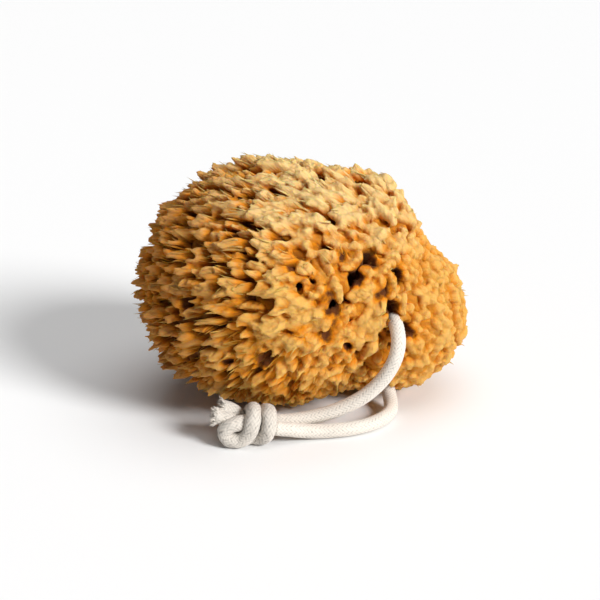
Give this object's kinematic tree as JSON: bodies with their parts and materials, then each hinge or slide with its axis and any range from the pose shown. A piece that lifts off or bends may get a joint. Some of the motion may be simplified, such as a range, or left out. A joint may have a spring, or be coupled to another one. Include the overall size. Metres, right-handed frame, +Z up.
{
  "type": "sea sponge on a rope loop",
  "caption": "Wool bath sponge of brushy tufts, threaded near its cut base on a loop of braided cotton rope tied in one knot, lying on a shelf.",
  "frame": {"origin": "on the resting surface, under the middle of the sponge's body, with the rope left out of account", "axes": "+X along the sponge's longest side, towards the cut base lobe; +Y away from the side with the rope; +Z up from the resting surface"},
  "size_m": [0.1396, 0.1191, 0.0998],
  "materials": {
    "sponge": "matte, fibrous, pale tips over orange flesh and dark brown pores",
    "rope": "matte undyed cotton braid"
  },
  "bodies": {
    "root": {"sponge": "sponge", "rope": "rope", "knot": "rope"}
  },
  "joints": []
}
